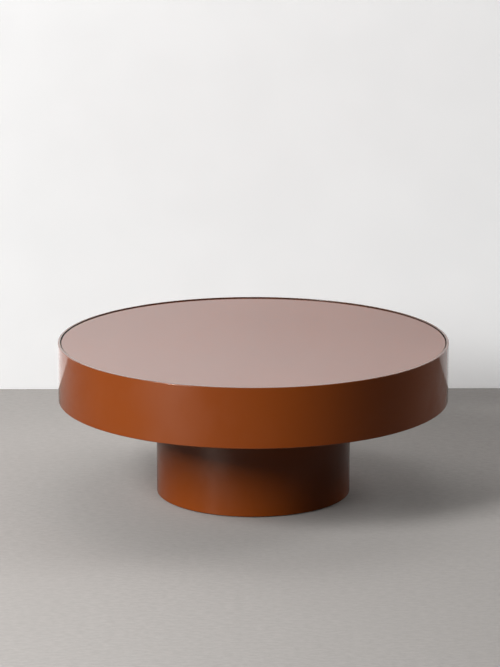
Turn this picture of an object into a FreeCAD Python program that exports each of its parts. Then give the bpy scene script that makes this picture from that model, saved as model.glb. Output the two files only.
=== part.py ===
import FreeCAD, Part
import math
import os
from types import SimpleNamespace

import Sketcher

# Round cocktail table: a deep lacquered drum with a glass set into it, on a cylindrical pedestal.
# Lengths are in millimetres, +Z is up and the origin is on the floor under the pedestal's centre.

# Driving dimensions, one spreadsheet row each: name, value, meaning.
SIZES = [
    ("table_height", 407, "floor to the top of the lip"),
    ("top_diameter", 1016, "outside of the drum"),
    ("drum_height", 154, "outside of the drum, lip to lower edge"),
    ("drum_wall", 6.5, "bent hoop round the drum, which is also the width of the lip"),
    ("drum_edge_round", 2, "lacquered outer edges of the drum"),
    ("lip_inner_round", 1, "inner edge of the lip"),
    ("glass_recess", 2.5, "top of the glass below the lip"),
    ("glass_thickness", 6, "back-painted toughened glass"),
    ("glass_gap", 2, "open joint between the glass and the lip"),
    ("glass_arris", 0.8, "ground bevel on the glass edges"),
    ("bumper_thickness", 1.5, "clear pads under the glass"),
    ("bumper_diameter", 12, "clear pads under the glass"),
    ("bumper_inset", 50, "outer ring of pads, from the edge of the glass"),
    ("bumper_count", 8, "outer ring of pads"),
    ("inner_bumper_inset", 300, "inner ring of pads, from the edge of the glass"),
    ("inner_bumper_count", 4, "inner ring of pads"),
    ("glue_line", 0.2, "adhesive film between a hoop and what it is bent round"),
    ("deck_thickness", 18, "panel under the glass"),
    ("soffit_thickness", 18, "panel under the drum"),
    ("soffit_setback", 3, "soffit above the drum's lower edge"),
    ("rib_thickness", 12, "egg-crate core of the drum"),
    ("rib_spacing", 240, "egg-crate core of the drum"),
    ("lap_clearance", 0.2, "each side of a rib in the slot that it crosses"),
    ("pedestal_diameter", 507, "outside of the pedestal"),
    ("pedestal_wall", 8, "bent hoop round the pedestal"),
    ("pedestal_edge_round", 1.5, "lower outer edge of the pedestal"),
    ("toe_gap", 2, "pedestal hoop above the floor"),
    ("head_plate_thickness", 25, "plate that bolts to the drum"),
    ("base_ring_thickness", 25, "ring that carries the levelling feet"),
    ("base_ring_width", 75, "from the ring's edge to the way in to the connector bolts"),
    ("former_thickness", 18, "ring half way up the pedestal"),
    ("former_width", 65, "ring half way up the pedestal"),
    ("stile_width", 45, "upright batten, along the hoop"),
    ("stile_depth", 40, "upright batten, towards the centre"),
    ("stile_chamfer", 2, "long edges of a batten"),
    ("stile_count", 4, "upright battens"),
    ("stile_start", 45, "degrees from +X to the first batten"),
    ("notch_clearance", 0.3, "round a batten in the former's notch"),
    ("bolt_inset", 105, "connector bolts, from the edge of the head plate"),
    ("bolt_count", 8, "connector bolts"),
    ("bolt_start", 22.5, "degrees from +X to the first bolt"),
    ("bolt_diameter", 8, "connector bolts and the stems of the levelling feet"),
    ("bolt_length", 50, "connector bolts, under the head"),
    ("bolt_head_diameter", 13, "connector bolts"),
    ("bolt_head_height", 8, "connector bolts"),
    ("bolt_chamfer", 0.8, "edge of the head and end of the shank"),
    ("bolt_key", 6, "hexagon socket across its flats"),
    ("bolt_key_depth", 4, "hexagon socket"),
    ("bolt_hole_clearance", 0.5, "round a bolt, in the plates and the washer"),
    ("washer_diameter", 24, "under a bolt head"),
    ("washer_thickness", 2, "under a bolt head"),
    ("thread_clearance", 0.1, "round a plain shank that stands for a thread"),
    ("insert_flange_diameter", 22, "threaded insert"),
    ("insert_flange_thickness", 1.5, "threaded insert"),
    ("insert_barrel_diameter", 11, "threaded insert"),
    ("insert_barrel_length", 14, "threaded insert, under its flange"),
    ("insert_fit", 0.1, "round an insert's barrel in its hole"),
    ("screw_diameter", 5, "batten screws"),
    ("screw_length", 60, "batten screws, over all"),
    ("screw_head_diameter", 10, "batten screws"),
    ("screw_head_height", 2.8, "batten screws, countersunk part"),
    ("screw_point_length", 8, "batten screws, tapered end"),
    ("screw_recess_span", 5.2, "cross recess in a screw head, over its arms"),
    ("screw_recess_width", 1.4, "arm of the cross recess"),
    ("screw_recess_depth", 2.2, "cross recess"),
    ("screw_spacing", 22, "two screws in each end of a batten"),
    ("screw_fit", 0.1, "round a screw in its hole"),
    ("leveller_inset", 38, "levelling feet, from the edge of the base ring"),
    ("leveller_count", 4, "levelling feet"),
    ("foot_diameter", 40, "pad of a levelling foot, on the floor"),
    ("foot_top_diameter", 24, "pad of a levelling foot, at its top"),
    ("foot_rim", 2, "upright edge of the pad"),
    ("foot_height", 8, "pad of a levelling foot"),
    ("stem_length", 45, "threaded stem above its hexagon"),
    ("stem_point", 1, "chamfer at the top of the stem"),
    ("spigot_diameter", 6, "lower end of the stem, which turns in the pad"),
    ("spigot_length", 4, "lower end of the stem, which turns in the pad"),
    ("spanner_size", 14, "hexagon on the stem, across its flats"),
    ("spanner_height", 6, "hexagon on the stem"),
    ("turn_clearance", 0.1, "between the stem and the pad that it turns in"),
    ("stop_clearance", 0.5, "between the hexagon and its socket when screwed right in"),
]

PARTS_FOLDER = "parts"
FULL_TURN = 360

doc = FreeCAD.newDocument("cocktail_table")
sheet = doc.addObject("Spreadsheet::Sheet", "Sizes")
for row, (alias, value, meaning) in enumerate(SIZES, start=1):
    sheet.set(f"A{row}", meaning)
    sheet.set(f"B{row}", str(value))
    sheet.setAlias(f"B{row}", alias)
doc.recompute()


class Measure:
    """A dimension: the expression that a feature is bound to, and the number it now comes to."""

    def __init__(self, text, number):
        self.text = text
        self.number = float(number)

    def __add__(self, other):
        other = measure(other)
        return Measure(f"({self.text} + {other.text})", self.number + other.number)

    def __sub__(self, other):
        other = measure(other)
        return Measure(f"({self.text} - {other.text})", self.number - other.number)

    def __mul__(self, other):
        other = measure(other)
        return Measure(f"({self.text} * {other.text})", self.number * other.number)

    def __truediv__(self, other):
        other = measure(other)
        return Measure(f"({self.text} / {other.text})", self.number / other.number)

    def __neg__(self):
        return self * -1


def measure(thing):
    """A plain number as a measure. A measure comes back as it is."""
    return thing if isinstance(thing, Measure) else Measure(f"({thing})", thing)


def root(square):
    return Measure(f"sqrt({square.text})", math.sqrt(square.number))


def cosine(degrees):
    return Measure(f"cos({degrees.text} * 1 deg)", math.cos(math.radians(degrees.number)))


def sine(degrees):
    return Measure(f"sin({degrees.text} * 1 deg)", math.sin(math.radians(degrees.number)))


def chord_distance(radius, half_width):
    """How far out a straight edge of that half width reaches inside a circle."""
    return root(radius * radius - half_width * half_width)


size = SimpleNamespace(**{alias: Measure(f"Sizes.{alias}", sheet.get(alias)) for alias, _, _ in SIZES})
ZERO = measure(0)

# Heights that several pieces share.
LIP_TOP = size.table_height
GLASS_TOP = LIP_TOP - size.glass_recess
GLASS_UNDERSIDE = GLASS_TOP - size.glass_thickness
DECK_TOP = GLASS_UNDERSIDE - size.bumper_thickness
DECK_UNDERSIDE = DECK_TOP - size.deck_thickness
DRUM_BOTTOM = LIP_TOP - size.drum_height
SOFFIT_UNDERSIDE = DRUM_BOTTOM + size.soffit_setback
SOFFIT_TOP = SOFFIT_UNDERSIDE + size.soffit_thickness
RIB_MIDDLE = (SOFFIT_TOP + DECK_UNDERSIDE) / 2
HEAD_UNDERSIDE = SOFFIT_UNDERSIDE - size.head_plate_thickness
WASHER_UNDERSIDE = HEAD_UNDERSIDE - size.washer_thickness
FOOT_TOP = size.foot_height
HEXAGON_TOP = FOOT_TOP + size.spanner_height
BASE_UNDERSIDE = HEXAGON_TOP + size.stop_clearance + size.insert_flange_thickness
BASE_TOP = BASE_UNDERSIDE + size.base_ring_thickness
FORMER_MIDDLE = (HEAD_UNDERSIDE + BASE_TOP) / 2

# Radii that several pieces share.
DRUM_RADIUS = size.top_diameter / 2
DRUM_INSIDE = DRUM_RADIUS - size.drum_wall
PANEL_RADIUS = DRUM_INSIDE - size.glue_line
GLASS_RADIUS = DRUM_INSIDE - size.glass_gap
PEDESTAL_RADIUS = size.pedestal_diameter / 2
PEDESTAL_INSIDE = PEDESTAL_RADIUS - size.pedestal_wall
PLATE_RADIUS = PEDESTAL_INSIDE - size.glue_line
STILE_OUTSIDE = chord_distance(PLATE_RADIUS, size.stile_width / 2)
STILE_INSIDE = STILE_OUTSIDE - size.stile_depth
STILE_MIDDLE = (STILE_OUTSIDE + STILE_INSIDE) / 2
BOLT_RADIUS = PLATE_RADIUS - size.bolt_inset
BOLT_HOLE = size.bolt_diameter / 2 + size.bolt_hole_clearance
INSERT_HOLE = size.insert_barrel_diameter / 2 + size.insert_fit
LEVELLER_RADIUS = PLATE_RADIUS - size.leveller_inset


def new_body(label, several=False):
    """An empty body. One that may hold several solids is a group of like pieces."""
    body = doc.addObject("PartDesign::Body", label)
    body.Label = label
    body.AllowCompound = several
    return body


def origin_of(body, role):
    return next(feature for feature in body.Origin.OriginFeatures if feature.Role == role)


def bind(thing, path, bound_to):
    thing.setExpression(path, bound_to.text)


def new_sketch(body, plane, shift):
    """A sketch on one of the body's origin planes, moved along its own axes."""
    sketch = body.newObject("Sketcher::SketchObject", f"{body.Name}_sketch")
    sketch.AttachmentSupport = [(origin_of(body, plane), "")]
    sketch.MapMode = "FlatFace"
    for axis, distance in shift.items():
        bind(sketch, f"AttachmentOffset.Base.{axis}", distance)
    return sketch


def constrain(sketch, kind, geometry, distance):
    """Adds a dimension to the sketch, bound to the sheet."""
    index = sketch.addConstraint(Sketcher.Constraint(kind, *geometry, distance.number))
    bind(sketch, f"Constraints[{index}]", distance)


def outline(body, plane, corners, **shift):
    """A closed sketch of straight lines, each corner dimensioned from the sketch's origin."""
    sketch = new_sketch(body, plane, shift)
    points = [FreeCAD.Vector(across.number, up.number, 0) for across, up in corners]
    for here, there in zip(points, points[1:] + points[:1]):
        sketch.addGeometry(Part.LineSegment(here, there))
    for line, (across, up) in enumerate(corners):
        line_before = (line - 1) % len(corners)
        sketch.addConstraint(Sketcher.Constraint("Coincident", line_before, 2, line, 1))
        constrain(sketch, "DistanceX", (line, 1), across)
        constrain(sketch, "DistanceY", (line, 1), up)
    return sketch


def disc(body, radius, **shift):
    """A sketch of one circle, lying level."""
    sketch = new_sketch(body, "XY_Plane", shift)
    sketch.addGeometry(Part.Circle(FreeCAD.Vector(), FreeCAD.Vector(0, 0, 1), radius.number))
    sketch.addConstraint(Sketcher.Constraint("Coincident", 0, 3, -1, 1))
    constrain(sketch, "Radius", (0,), radius)
    return sketch


def hexagon(body, across_flats, **shift):
    """A sketch of a hexagon, lying level."""
    to_corner = across_flats / root(measure(3))
    angles = [measure(60 * corner) for corner in range(6)]
    corners = [(to_corner * cosine(angle), to_corner * sine(angle)) for angle in angles]
    return outline(body, "XY_Plane", corners, **shift)


def rectangle(inner, outer, low, high):
    return [(inner, low), (outer, low), (outer, high), (inner, high)]


def add_feature(body, kind, profile, **settings):
    made = body.newObject(f"PartDesign::{kind}", f"{body.Name}_{kind.lower()}")
    made.Profile = profile
    for name, setting in settings.items():
        setattr(made, name, setting)
    doc.recompute()
    return made


def pad(body, profile, length, **settings):
    made = add_feature(body, "Pad", profile, **settings)
    bind(made, "Length", length)
    return made


def pocket(body, profile, depth, **settings):
    made = add_feature(body, "Pocket", profile, **settings)
    bind(made, "Length", depth)
    return made


def turned(body, profile):
    """A solid of revolution about the profile's own upright axis."""
    return add_feature(body, "Revolution", profile, ReferenceAxis=(profile, ["V_Axis"]), Angle=FULL_TURN)


def bored(body, profile):
    """A cut of revolution about the profile's own upright axis."""
    return add_feature(body, "Groove", profile, ReferenceAxis=(profile, ["V_Axis"]), Angle=FULL_TURN)


def spot(radius, degrees, aside=ZERO):
    """The place at that radius and angle round the table's axis, or aside of it, as x and y."""
    x = radius * cosine(degrees) - aside * sine(degrees)
    y = radius * sine(degrees) + aside * cosine(degrees)
    return x, y


def upright_outline(body, corners, radius, degrees=ZERO, aside=ZERO):
    """A half section whose own axis stands at that spot."""
    x, y = spot(radius, degrees, aside)
    return outline(body, "XZ_Plane", corners, x=x, z=-y)


def spread(body, originals, count):
    """The same features repeated evenly round the table's axis."""
    pattern = body.newObject("PartDesign::PolarPattern", f"{body.Name}_pattern")
    pattern.Originals = originals
    pattern.Axis = (origin_of(body, "Z_Axis"), [""])
    pattern.Angle = FULL_TURN
    bind(pattern, "Occurrences", count)
    body.Tip = pattern
    doc.recompute()
    return pattern


def ease(body, kind, amount, base, is_chosen):
    """A fillet or a chamfer on those edges of a feature that pass a test."""
    doc.recompute()
    names = [f"Edge{i}" for i, edge in enumerate(base.Shape.Edges, start=1) if is_chosen(edge)]
    made = body.newObject(f"PartDesign::{kind}", f"{body.Name}_{kind.lower()}")
    made.Base = (base, names)
    bind(made, "Radius" if kind == "Fillet" else "Size", amount)
    return made


def ring_edges(radius, *heights):
    """A test for the level circular edges of one radius, at any of the heights."""

    def is_chosen(edge):
        if not isinstance(edge.Curve, Part.Circle):
            return False
        if abs(edge.Curve.Radius - radius.number) > 0.01:
            return False
        return any(abs(edge.Curve.Center.z - height.number) < 0.01 for height in heights)

    return is_chosen


def turn(body, degrees):
    """Turns a whole body round the table's axis."""
    body.Placement = FreeCAD.Placement(FreeCAD.Vector(), FreeCAD.Rotation(FreeCAD.Vector(0, 0, 1), 0))
    bind(body, "Placement.Rotation.Angle", degrees)


# The drum.


def make_drum_hoop():
    """Bent plywood wall of the drum. Its upper edge is the lip that stands above the glass."""
    body = new_body("drum_hoop")
    wall = outline(body, "XZ_Plane", rectangle(DRUM_INSIDE, DRUM_RADIUS, DRUM_BOTTOM, LIP_TOP))
    hoop = turned(body, wall)
    outer_edges = ring_edges(DRUM_RADIUS, DRUM_BOTTOM, LIP_TOP)
    rounded = ease(body, "Fillet", size.drum_edge_round, hoop, outer_edges)
    ease(body, "Fillet", size.lip_inner_round, rounded, ring_edges(DRUM_INSIDE, LIP_TOP))
    return body


def make_glass_top():
    body = new_body("glass_top")
    pane = pad(body, disc(body, GLASS_RADIUS, z=GLASS_UNDERSIDE), size.glass_thickness)
    ease(body, "Chamfer", size.glass_arris, pane, ring_edges(GLASS_RADIUS, GLASS_UNDERSIDE, GLASS_TOP))
    return body


def make_glass_bumpers():
    """Clear pads in two rings, on which the glass lies."""
    body = new_body("glass_bumpers", several=True)
    rings = (
        (GLASS_RADIUS - size.bumper_inset, size.bumper_count),
        (GLASS_RADIUS - size.inner_bumper_inset, size.inner_bumper_count),
    )
    for radius, count in rings:
        spot = disc(body, size.bumper_diameter / 2, x=radius, z=DECK_TOP)
        spread(body, [pad(body, spot, size.bumper_thickness)], count)
    return body


def make_deck_panel():
    body = new_body("deck_panel")
    pad(body, disc(body, PANEL_RADIUS, z=DECK_UNDERSIDE), size.deck_thickness)
    return body


def make_soffit_panel():
    """Panel under the drum, with holes for the inserts that the connector bolts screw into."""
    body = new_body("soffit_panel")
    pad(body, disc(body, PANEL_RADIUS, z=SOFFIT_UNDERSIDE), size.soffit_thickness)
    hole = rectangle(ZERO, INSERT_HOLE, SOFFIT_UNDERSIDE, SOFFIT_TOP)
    first_hole = bored(body, upright_outline(body, hole, BOLT_RADIUS, size.bolt_start))
    spread(body, [first_hole], size.bolt_count)
    return body


# Ribs run both ways across the drum, one through the middle and one to each side of it.
RIB_STEPS = (-1, 0, 1)


def make_core_rib(label, plane, step, slotted_from_above):
    """One rib of the egg-crate core, half lapped with the three ribs that cross it."""
    body = new_body(label)
    reach = chord_distance(PANEL_RADIUS, size.rib_spacing * abs(step) + size.rib_thickness / 2)
    half_slot = size.rib_thickness / 2 + size.lap_clearance
    plain_edge, slotted_edge = SOFFIT_TOP, DECK_UNDERSIDE
    if not slotted_from_above:
        plain_edge, slotted_edge = DECK_UNDERSIDE, SOFFIT_TOP
    corners = [(-reach, plain_edge), (reach, plain_edge), (reach, slotted_edge)]
    for crossing in reversed(RIB_STEPS):
        right = size.rib_spacing * crossing + half_slot
        left = size.rib_spacing * crossing - half_slot
        corners += [(right, slotted_edge), (right, RIB_MIDDLE), (left, RIB_MIDDLE), (left, slotted_edge)]
    corners.append((-reach, slotted_edge))
    profile = outline(body, plane, corners, z=size.rib_spacing * step)
    pad(body, profile, size.rib_thickness, SideType="Symmetric")
    return body


def make_core_ribs():
    ribs = []
    for number, step in enumerate(RIB_STEPS, start=1):
        ribs.append(make_core_rib(f"core_rib_long_{number}", "XZ_Plane", step, True))
        ribs.append(make_core_rib(f"core_rib_cross_{number}", "YZ_Plane", step, False))
    return ribs


# The joint between the drum and the pedestal.


def insert_section(seat, way):
    """Half section of a flanged threaded insert. Its flange lies on the seat, above (1) or below (-1)."""
    bore = size.bolt_diameter / 2 + size.thread_clearance
    barrel = size.insert_barrel_diameter / 2
    flange = size.insert_flange_diameter / 2
    flange_face = seat + size.insert_flange_thickness * way
    barrel_end = seat - size.insert_barrel_length * way
    return [
        (bore, barrel_end),
        (barrel, barrel_end),
        (barrel, seat),
        (flange, seat),
        (flange, flange_face),
        (bore, flange_face),
    ]


def make_insert_nuts():
    """Inserts let into the soffit from inside the drum, so that the bolts pull on their flanges."""
    body = new_body("insert_nuts", several=True)
    section = insert_section(SOFFIT_TOP, 1)
    first = turned(body, upright_outline(body, section, BOLT_RADIUS, size.bolt_start))
    spread(body, [first], size.bolt_count)
    return body


def make_bolt_washers():
    body = new_body("bolt_washers", several=True)
    section = rectangle(BOLT_HOLE, size.washer_diameter / 2, WASHER_UNDERSIDE, HEAD_UNDERSIDE)
    first = turned(body, upright_outline(body, section, BOLT_RADIUS, size.bolt_start))
    spread(body, [first], size.bolt_count)
    return body


def make_connector_bolts():
    """Socket-head bolts driven upwards from inside the pedestal."""
    body = new_body("connector_bolts", several=True)
    shank = size.bolt_diameter / 2
    head = size.bolt_head_diameter / 2
    head_face = WASHER_UNDERSIDE - size.bolt_head_height
    shank_end = WASHER_UNDERSIDE + size.bolt_length
    section = [
        (ZERO, head_face),
        (head - size.bolt_chamfer, head_face),
        (head, head_face + size.bolt_chamfer),
        (head, WASHER_UNDERSIDE),
        (shank, WASHER_UNDERSIDE),
        (shank, shank_end - size.bolt_chamfer),
        (shank - size.bolt_chamfer, shank_end),
        (ZERO, shank_end),
    ]
    bolt = turned(body, upright_outline(body, section, BOLT_RADIUS, size.bolt_start))
    x, y = spot(BOLT_RADIUS, size.bolt_start)
    key = hexagon(body, size.bolt_key, x=x, y=y, z=head_face)
    socket = pocket(body, key, size.bolt_key_depth, Reversed=True)
    spread(body, [bolt, socket], size.bolt_count)
    return body


# The pedestal.


def make_pedestal_hoop():
    """Bent plywood wall of the pedestal, standing just clear of the floor."""
    body = new_body("pedestal_hoop")
    wall = rectangle(PEDESTAL_INSIDE, PEDESTAL_RADIUS, size.toe_gap, SOFFIT_UNDERSIDE)
    hoop = turned(body, outline(body, "XZ_Plane", wall))
    ease(body, "Fillet", size.pedestal_edge_round, hoop, ring_edges(PEDESTAL_RADIUS, size.toe_gap))
    return body


def screw_section(head_face, way, clearance):
    """Half section of a countersunk screw, or of its hole. It points up (1) or down (-1)."""
    head = size.screw_head_diameter / 2 + clearance
    shank = size.screw_diameter / 2 + clearance
    return [
        (ZERO, head_face),
        (head, head_face),
        (shank, head_face + size.screw_head_height * way),
        (shank, head_face + (size.screw_length - size.screw_point_length) * way),
        (ZERO, head_face + (size.screw_length + clearance) * way),
    ]


# Two screws go into each end of a batten: their heads are level with the face given, and point a way.
TOP_END = (SOFFIT_UNDERSIDE, -1)
BOTTOM_END = (BASE_UNDERSIDE, 1)


SCREW_SIDES = (size.screw_spacing / -2, size.screw_spacing / 2)


def bore_screw_holes(body, ends, degrees):
    """The screw holes of one batten, through a plate or into the batten."""
    holes = []
    for head_face, way in ends:
        section = screw_section(head_face, way, size.screw_fit)
        for aside in SCREW_SIDES:
            holes.append(bored(body, upright_outline(body, section, STILE_MIDDLE, degrees, aside)))
    return holes


def make_head_plate():
    """Top of the pedestal, bolted up to the drum's soffit."""
    body = new_body("pedestal_head_plate")
    pad(body, disc(body, PLATE_RADIUS, z=HEAD_UNDERSIDE), size.head_plate_thickness)
    spread(body, bore_screw_holes(body, [TOP_END], size.stile_start), size.stile_count)
    hole = rectangle(ZERO, BOLT_HOLE, HEAD_UNDERSIDE, SOFFIT_UNDERSIDE)
    bolt_hole = bored(body, upright_outline(body, hole, BOLT_RADIUS, size.bolt_start))
    spread(body, [bolt_hole], size.bolt_count)
    return body


def make_base_ring():
    """Foot of the pedestal: a ring with the levelling feet's sockets, open in the middle."""
    body = new_body("pedestal_base_ring")
    section = rectangle(PLATE_RADIUS - size.base_ring_width, PLATE_RADIUS, BASE_UNDERSIDE, BASE_TOP)
    turned(body, outline(body, "XZ_Plane", section))
    spread(body, bore_screw_holes(body, [BOTTOM_END], size.stile_start), size.stile_count)
    hole = rectangle(ZERO, INSERT_HOLE, BASE_UNDERSIDE, BASE_TOP)
    socket_hole = bored(body, upright_outline(body, hole, LEVELLER_RADIUS))
    spread(body, [socket_hole], size.leveller_count)
    return body


def make_former_ring():
    """Ring half way up the pedestal, notched round the battens."""
    body = new_body("pedestal_former_ring")
    low = FORMER_MIDDLE - size.former_thickness / 2
    high = FORMER_MIDDLE + size.former_thickness / 2
    section = rectangle(PLATE_RADIUS - size.former_width, PLATE_RADIUS, low, high)
    turned(body, outline(body, "XZ_Plane", section))
    half_width = size.stile_width / 2 + size.notch_clearance
    notch = rectangle(STILE_INSIDE - size.notch_clearance, PEDESTAL_RADIUS, -half_width, half_width)
    cut = pocket(body, outline(body, "XY_Plane", notch, z=high), size.former_thickness)
    spread(body, [cut], size.stile_count)
    turn(body, size.stile_start)
    return body


def is_inner_arris(edge):
    """The two long edges of a batten that face the middle of the pedestal."""
    is_upright = abs(edge.tangentAt(edge.FirstParameter).z) > 0.999
    return is_upright and edge.CenterOfMass.x < STILE_MIDDLE.number


def make_stile(number):
    """Upright batten between the base ring and the head plate, with pilot holes in its ends."""
    body = new_body(f"pedestal_stile_{number}")
    half_width = size.stile_width / 2
    section = rectangle(STILE_INSIDE, STILE_OUTSIDE, -half_width, half_width)
    batten = pad(body, outline(body, "XY_Plane", section, z=BASE_TOP), HEAD_UNDERSIDE - BASE_TOP)
    ease(body, "Chamfer", size.stile_chamfer, batten, is_inner_arris)
    doc.recompute()
    bore_screw_holes(body, [TOP_END, BOTTOM_END], ZERO)
    turn(body, size.stile_start + measure(FULL_TURN * (number - 1)) / size.stile_count)
    return body


def recess_corners():
    """Corners of the cross recess in a screw head."""
    long = size.screw_recess_span / 2
    short = size.screw_recess_width / 2
    return [
        (long, -short), (long, short), (short, short), (short, long),
        (-short, long), (-short, short), (-long, short), (-long, -short),
        (-short, -short), (-short, -long), (short, -long), (short, -short),
    ]


def make_stile_screws():
    """Countersunk screws with a cross recess, two in each end of each batten."""
    body = new_body("stile_screws", several=True)
    made = []
    for head_face, way in (TOP_END, BOTTOM_END):
        for aside in SCREW_SIDES:
            section = screw_section(head_face, way, ZERO)
            made.append(turned(body, upright_outline(body, section, STILE_MIDDLE, size.stile_start, aside)))
            x, y = spot(STILE_MIDDLE, size.stile_start, aside)
            cross = outline(body, "XY_Plane", recess_corners(), x=x, y=y, z=head_face)
            made.append(pocket(body, cross, size.screw_recess_depth, Reversed=way > 0))
    spread(body, made, size.stile_count)
    return body


# The levelling feet.


def make_leveller_sockets():
    """Threaded inserts let into the base ring from below, so that the feet push on their flanges."""
    body = new_body("leveller_sockets", several=True)
    first = turned(body, upright_outline(body, insert_section(BASE_UNDERSIDE, -1), LEVELLER_RADIUS))
    spread(body, [first], size.leveller_count)
    return body


def stand_on_circle(body, number):
    """Moves one of the levelling feet's pieces from the table's axis to its place."""
    x, y = spot(LEVELLER_RADIUS, measure(FULL_TURN * (number - 1)) / size.leveller_count)
    bind(body, "Placement.Base.x", x)
    bind(body, "Placement.Base.y", y)


def make_leveller_pad(number):
    """Moulded foot that moves up and down without turning. The stem turns in its blind hole."""
    body = new_body(f"leveller_pad_{number}")
    foot = size.foot_diameter / 2
    hole = size.spigot_diameter / 2 + size.turn_clearance
    hole_bottom = FOOT_TOP - size.spigot_length - size.turn_clearance
    section = [
        (ZERO, ZERO),
        (foot, ZERO),
        (foot, size.foot_rim),
        (size.foot_top_diameter / 2, FOOT_TOP),
        (hole, FOOT_TOP),
        (hole, hole_bottom),
        (ZERO, hole_bottom),
    ]
    turned(body, outline(body, "XZ_Plane", section))
    stand_on_circle(body, number)
    return body


def make_leveller_stem(number):
    """Threaded stem with a hexagon for a spanner and a spigot that turns in the pad."""
    body = new_body(f"leveller_stem_{number}")
    stem = size.bolt_diameter / 2
    spigot = size.spigot_diameter / 2
    spigot_end = FOOT_TOP - size.spigot_length
    top = HEXAGON_TOP + size.stem_length
    section = [
        (ZERO, spigot_end),
        (spigot, spigot_end),
        (spigot, FOOT_TOP),
        (stem, FOOT_TOP),
        (stem, top - size.stem_point),
        (stem - size.stem_point, top),
        (ZERO, top),
    ]
    turned(body, outline(body, "XZ_Plane", section))
    pad(body, hexagon(body, size.spanner_size, z=FOOT_TOP), size.spanner_height)
    stand_on_circle(body, number)
    return body


def make_all():
    singles = [
        make_drum_hoop, make_glass_top, make_glass_bumpers, make_deck_panel, make_soffit_panel,
        make_insert_nuts, make_bolt_washers, make_connector_bolts,
        make_pedestal_hoop, make_head_plate, make_base_ring, make_former_ring,
        make_stile_screws, make_leveller_sockets,
    ]
    pieces = [make() for make in singles]
    pieces += make_core_ribs()
    for number in range(1, int(size.stile_count.number) + 1):
        pieces.append(make_stile(number))
    for number in range(1, int(size.leveller_count.number) + 1):
        pieces.append(make_leveller_pad(number))
        pieces.append(make_leveller_stem(number))
    return pieces


def check(pieces):
    """Stops if anything failed to recompute, or if a piece has no sound solid."""
    failed = [thing.Label for thing in doc.Objects if {"Invalid", "Error"} & set(thing.State)]
    unsound = [
        piece.Label for piece in pieces
        if piece.Shape.isNull() or not piece.Shape.isValid() or not piece.Shape.Solids
    ]
    if failed or unsound:
        raise SystemExit(f"failed: {failed}; no sound solid: {unsound}")


pieces = make_all()
doc.recompute()
check(pieces)
os.makedirs(PARTS_FOLDER, exist_ok=True)
for piece in pieces:
    piece.Shape.exportStep(os.path.join(PARTS_FOLDER, f"{piece.Label}.step"))
    print(f"{piece.Label}: {len(piece.Shape.Solids)} solids, {piece.Shape.Volume / 1000:.1f} cm3")
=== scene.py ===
import math

import bmesh
import bpy
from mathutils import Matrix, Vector


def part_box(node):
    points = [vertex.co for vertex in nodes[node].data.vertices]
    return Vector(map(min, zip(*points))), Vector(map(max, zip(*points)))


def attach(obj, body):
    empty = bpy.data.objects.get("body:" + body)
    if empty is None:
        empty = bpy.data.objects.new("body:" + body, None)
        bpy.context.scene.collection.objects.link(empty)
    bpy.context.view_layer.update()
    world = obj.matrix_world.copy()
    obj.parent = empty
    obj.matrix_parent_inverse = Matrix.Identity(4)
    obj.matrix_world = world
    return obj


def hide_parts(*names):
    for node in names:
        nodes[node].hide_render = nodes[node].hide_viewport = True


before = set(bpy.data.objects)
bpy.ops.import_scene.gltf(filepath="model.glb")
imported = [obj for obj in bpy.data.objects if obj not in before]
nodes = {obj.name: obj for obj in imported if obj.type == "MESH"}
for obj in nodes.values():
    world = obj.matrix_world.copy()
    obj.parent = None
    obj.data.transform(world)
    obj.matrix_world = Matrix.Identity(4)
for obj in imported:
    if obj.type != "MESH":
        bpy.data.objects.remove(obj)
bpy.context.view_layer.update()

# Looks of the round cocktail table. Lengths are in metres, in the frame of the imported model:
# +Z is up, the origin is on the floor under the pedestal and the camera looks along +Y.

MM = 0.001
# Points closer than this are one point.
SAME_PLACE = 0.001 * MM

scene = bpy.context.scene


def numbered(stem, count):
    """Names of pieces of one kind, such as stem_1 and stem_2."""
    return [f"{stem}_{number}" for number in range(1, count + 1)]


LEVELLER_COUNT = 4
PADS = numbered("leveller_pad", LEVELLER_COUNT)
STILES = numbered("pedestal_stile", 4)
LONG_RIBS = numbered("core_rib_long", 3)
CROSS_RIBS = numbered("core_rib_cross", 3)

# Boxes and lengths that the finishes are laid out by.
drum_low, drum_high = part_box("drum_hoop")
pedestal_low, pedestal_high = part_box("pedestal_hoop")
soffit_low, soffit_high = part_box("soffit_panel")
glass_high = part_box("glass_top")[1]
DRUM_INSIDE = drum_high.x - 6.5 * MM
PEDESTAL_INSIDE = pedestal_high.x - 8 * MM
GLASS_RIM = glass_high.x - 0.8 * MM
PLY = 1.4 * MM
# Blur at the edge of the painted shade inside the drum's lip.
INSIDE_SHADE_BLUR = 0.1 * MM
RADIUS_BLUR = 0.2 * MM

# Colours, linear. A pair holds the two ends of a varying colour.
RUST_BODY = ((0.273, 0.0515, 0.0028), (0.292, 0.057, 0.0035))
RUST_EDGE = (0.130, 0.043, 0.0180)
RUST_SHINE = (1.0, 0.9, 0.8)
# Painted shade on the inner face of the drum's lip, above the glass.
LIP_INSIDE_SHADE = ((0.026, 0.010, 0.006), (0.040, 0.014, 0.008))
BARE_VENEER = ((0.36, 0.22, 0.11), (0.62, 0.43, 0.25))
GLASS_PAINT = ((0.165, 0.0325, 0.0045), (0.222, 0.0455, 0.0066))
GLASS_FROST = ((0.10, 0.075, 0.055), (0.22, 0.17, 0.13))
BIRCH_FACE = ((0.55, 0.37, 0.20), (0.66, 0.48, 0.29))
BIRCH_FIGURE = (0.36, 0.21, 0.10)
BIRCH_LONG_PLY = ((0.60, 0.42, 0.24), (0.44, 0.28, 0.14))
BIRCH_END_PLY = ((0.20, 0.11, 0.05), (0.36, 0.22, 0.11))
PINE_RINGS = ((0.62, 0.42, 0.21), (0.38, 0.19, 0.07))
PINE_FIBRE = (0.46, 0.28, 0.13)
BOARD_FACE = ((0.30, 0.185, 0.095), (0.345, 0.215, 0.115))
BOARD_SAWN = ((0.26, 0.155, 0.075), (0.41, 0.27, 0.15))
BOARD_FLECK = (0.22, 0.13, 0.06)
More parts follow.
